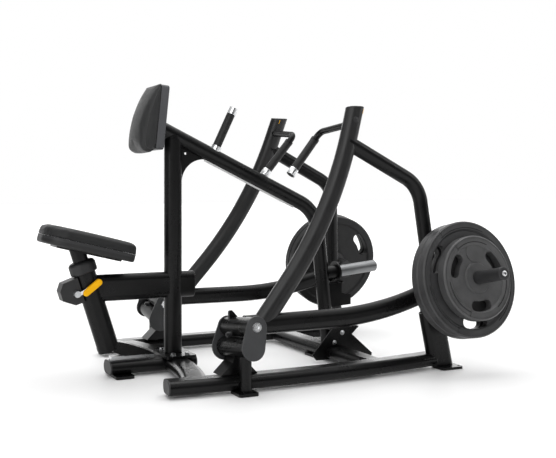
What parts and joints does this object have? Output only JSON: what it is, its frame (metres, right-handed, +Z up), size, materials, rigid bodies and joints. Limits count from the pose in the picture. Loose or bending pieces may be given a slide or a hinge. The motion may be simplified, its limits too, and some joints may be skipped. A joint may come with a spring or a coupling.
{
  "type": "plate-loaded seated row machine",
  "caption": "Seated row gym machine with a chest pad, a height-adjustable seat and independent plate-loaded swinging arms with handles.",
  "frame": {"origin": "on the floor, at the centre of the overall outline seen from above", "axes": "+X forwards as the user faces, from the seat towards the weight plates; +Y to the user's left; +Z up"},
  "size_m": [1.75, 1.5146, 1.1138],
  "materials": {
    "cushion": "satin",
    "pad_shell": "satin",
    "weight_rubber": "matte",
    "grip_rubber": "matte",
    "lever_yellow": "gloss",
    "bumper_rubber": "matte",
    "dark_plastic": "matte",
    "grey_paint": "satin",
    "horn_steel": "satin",
    "bright_steel": "polished",
    "black_paint": "satin gloss"
  },
  "bodies": {
    "frame": {"arm_rest_bumpers": "bumper_rubber", "assist_handle_bar": "bright_steel", "assist_handle_grip": "grip_rubber", "boom": "black_paint", "boom_gusset": "black_paint", "center_rail": "black_paint", "chest_pad": "cushion", "chest_pad_mount": "black_paint", "chest_pad_shell": "pad_shell", "column": "black_paint", "cross_tubes": "black_paint", "floor_plates": "black_paint", "frame_bolts": "bright_steel", "left_side_rail": "black_paint", "lock_housing": "dark_plastic", "pivot_plates": "grey_paint", "pivot_shafts": "bright_steel", "rail_end_caps": "dark_plastic", "rear_pedestal": "black_paint", "rear_posts": "black_paint", "right_side_rail": "black_paint", "seat_beam": "black_paint", "seat_sleeve": "black_paint", "seat_sleeve_collar": "dark_plastic", "seat_sleeve_foot": "black_paint", "stand_crossbars": "black_paint", "stand_gussets": "black_paint", "stand_posts": "black_paint", "stop_knobs": "bright_steel", "storage_bracket": "black_paint", "storage_horn": "bright_steel"},
    "right_arm": {"right_hub": "black_paint", "right_main_tube": "black_paint", "right_top_cap": "dark_plastic", "right_rear_tube": "black_paint", "right_lower_tube": "black_paint", "right_handle_bar": "black_paint", "right_handle_grip": "grip_rubber", "right_weight_horn": "horn_steel"},
    "right_inner_plate_body": {"right_inner_plate": "weight_rubber"},
    "right_outer_plate_body": {"right_outer_plate": "weight_rubber"},
    "right_small_plate_body": {"right_small_plate": "weight_rubber"},
    "left_arm": {"left_hub": "black_paint", "left_main_tube": "black_paint", "left_top_cap": "dark_plastic", "left_rear_tube": "black_paint", "left_lower_tube": "black_paint", "left_handle_bar": "black_paint", "left_handle_grip": "grip_rubber", "left_weight_horn": "horn_steel"},
    "left_inner_plate_body": {"left_inner_plate": "weight_rubber"},
    "left_outer_plate_body": {"left_outer_plate": "weight_rubber"},
    "left_small_plate_body": {"left_small_plate": "weight_rubber"},
    "seat": {"seat_pad": "cushion", "seat_plate": "black_paint", "seat_post": "black_paint", "seat_shell": "pad_shell"},
    "seat_lever": {"seat_lever_rod": "bright_steel", "seat_lever_grip": "lever_yellow"},
    "lock_pin": {"seat_lock_pin": "bright_steel"}
  },
  "joints": [
    {"name": "right_arm_swing", "type": "hinge", "parent": "frame", "child": "right_arm", "pos_m": [-0.26405, -0.5253, 0.2365], "axis": [0.0399, -0.9928, 0.1132], "range_deg": [0, 38]},
    {"name": "left_arm_swing", "type": "hinge", "parent": "frame", "child": "left_arm", "pos_m": [-0.26405, 0.5253, 0.2365], "axis": [-0.0399, -0.9928, -0.1132], "range_deg": [0, 38]},
    {"name": "right_inner_plate_slide", "type": "slide", "parent": "right_arm", "child": "right_inner_plate_body", "axis": [0.0394, -0.9798, 0.1959], "range_m": [0, 0.044]},
    {"name": "right_outer_plate_slide", "type": "slide", "parent": "right_inner_plate_body", "child": "right_outer_plate_body", "axis": [0.0394, -0.9798, 0.1959], "range_m": [0, 0.044]},
    {"name": "right_small_plate_slide", "type": "slide", "parent": "right_outer_plate_body", "child": "right_small_plate_body", "axis": [0.0394, -0.9798, 0.1959], "range_m": [0, 0.044]},
    {"name": "left_inner_plate_slide", "type": "slide", "parent": "left_arm", "child": "left_inner_plate_body", "axis": [0.0394, 0.9798, 0.1959], "range_m": [0, 0.044]},
    {"name": "left_outer_plate_slide", "type": "slide", "parent": "left_inner_plate_body", "child": "left_outer_plate_body", "axis": [0.0394, 0.9798, 0.1959], "range_m": [0, 0.044]},
    {"name": "left_small_plate_slide", "type": "slide", "parent": "left_outer_plate_body", "child": "left_small_plate_body", "axis": [0.0394, 0.9798, 0.1959], "range_m": [0, 0.044]},
    {"name": "seat_height", "type": "slide", "parent": "frame", "child": "seat", "axis": [-0.3007, 0, 0.9537], "range_m": [0, 0.15]},
    {"name": "lever_turn", "type": "hinge", "parent": "frame", "child": "seat_lever", "pos_m": [-0.74305, -0.031, 0.323], "axis": [0, -1, 0], "range_deg": [0, 8], "stiffness_Nm_per_rad": 2, "springref_deg": -11.46},
    {"name": "pin_pull", "type": "slide", "parent": "frame", "child": "lock_pin", "axis": [-0.9537, 0, -0.3007], "range_m": [0, 0.008]}
  ],
  "couplings": [
    {"joint": "pin_pull", "follows": "lever_turn", "m_per_rad": 0.057296}
  ]
}
